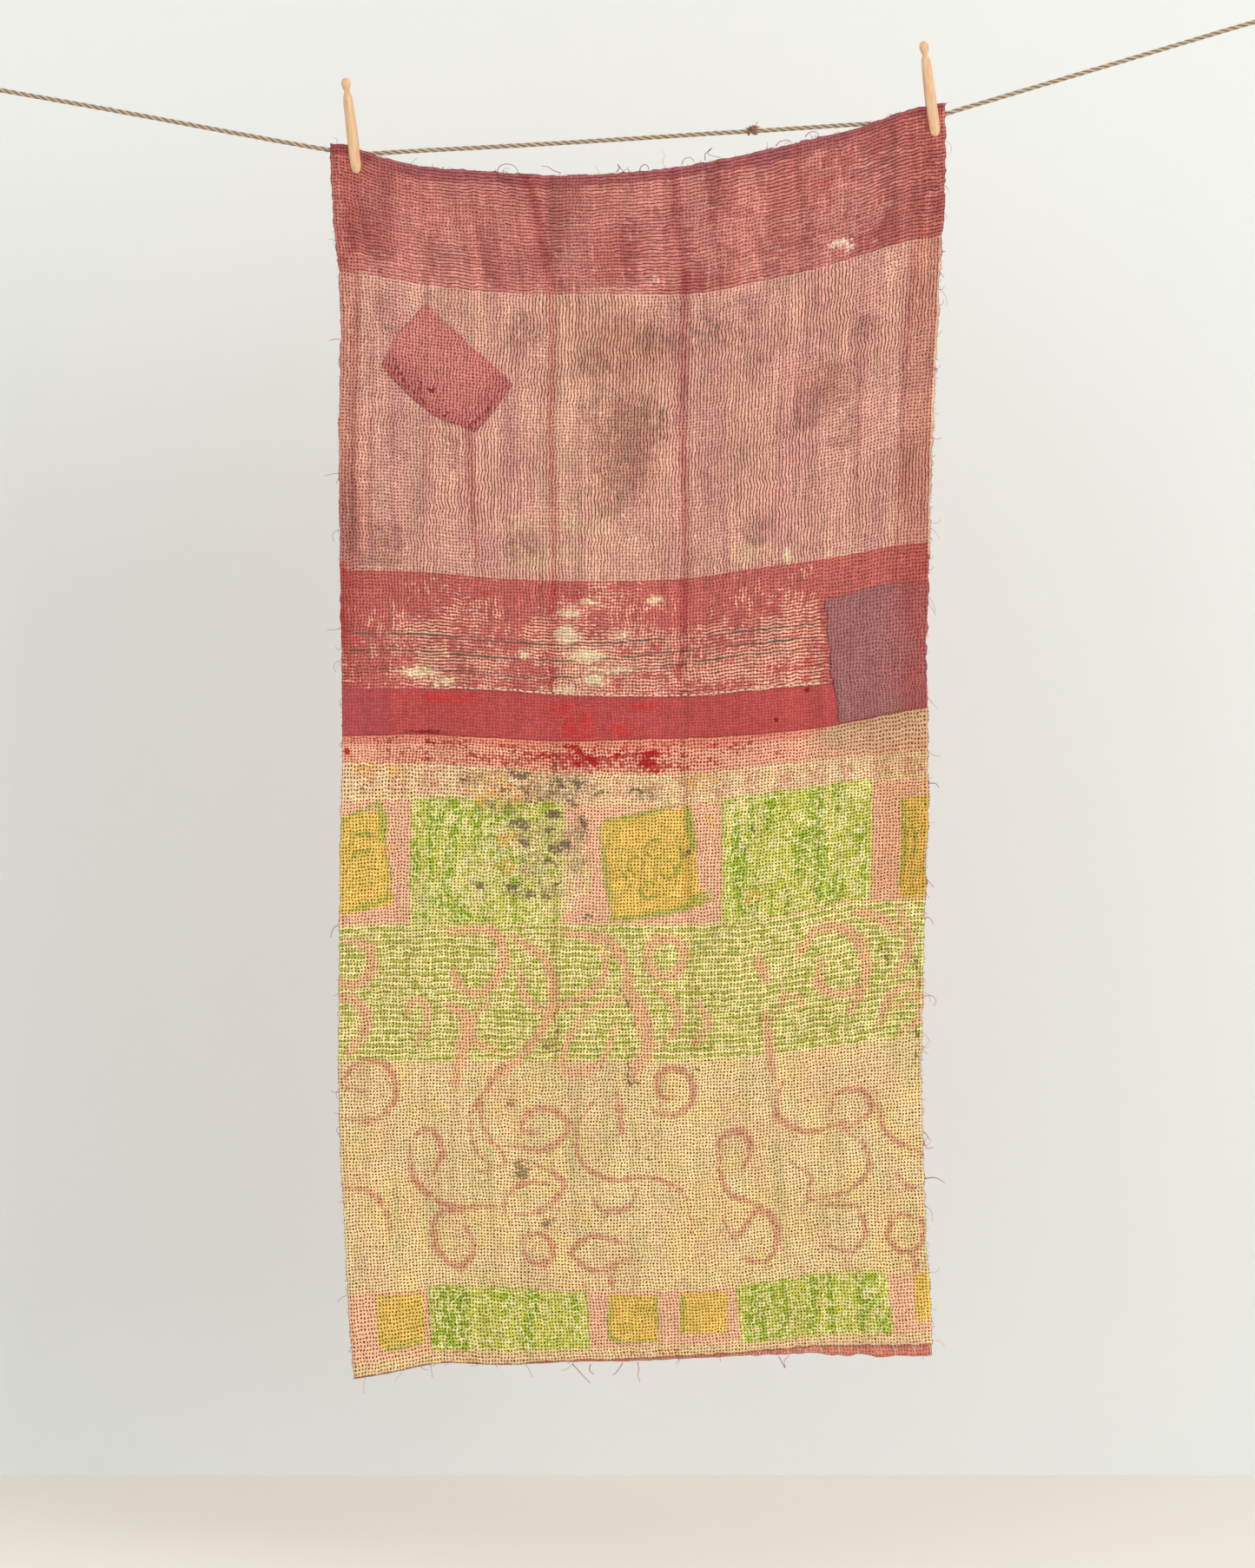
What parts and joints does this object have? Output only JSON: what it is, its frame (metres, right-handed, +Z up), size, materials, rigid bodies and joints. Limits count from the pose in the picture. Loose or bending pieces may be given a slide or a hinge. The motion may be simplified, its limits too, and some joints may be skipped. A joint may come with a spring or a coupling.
{
  "type": "kantha cloth on a rope line with pegs",
  "caption": "Worn patchwork kantha cloth, quilted all over in running stitch, hung by its top corners from a taut rope line with split wooden pegs.",
  "frame": {"origin": "centre of the eye at the rope's left end, where the line is hooked to its support", "axes": "+X to the right along the line, +Z up, the front of the cloth towards -Y"},
  "size_m": [1.6126, 0.0236, 1.5985],
  "materials": {
    "rose_cotton": "matt, worn and quilted",
    "yellow_cotton": "matt, worn and quilted",
    "backing_cotton": "matt, worn and quilted",
    "red_cotton": "matt, worn and quilted",
    "diamond_cotton": "matt, worn and quilted",
    "mauve_cotton": "matt, worn and quilted",
    "beech": "bare turned wood",
    "jute": "laid three-strand rope",
    "tie_yarn": "frayed yarn"
  },
  "bodies": {
    "root": {"upper_panel": "rose_cotton", "lower_panel": "yellow_cotton", "backing": "backing_cotton", "red_strip": "red_cotton", "diamond_patch": "diamond_cotton", "mauve_patch": "mauve_cotton", "peg_left": "beech", "peg_right": "beech", "rope": "jute", "rope_tie": "tie_yarn", "left_knot": "jute", "left_loop": "jute", "right_knot": "jute", "right_loop": "jute"}
  },
  "joints": []
}
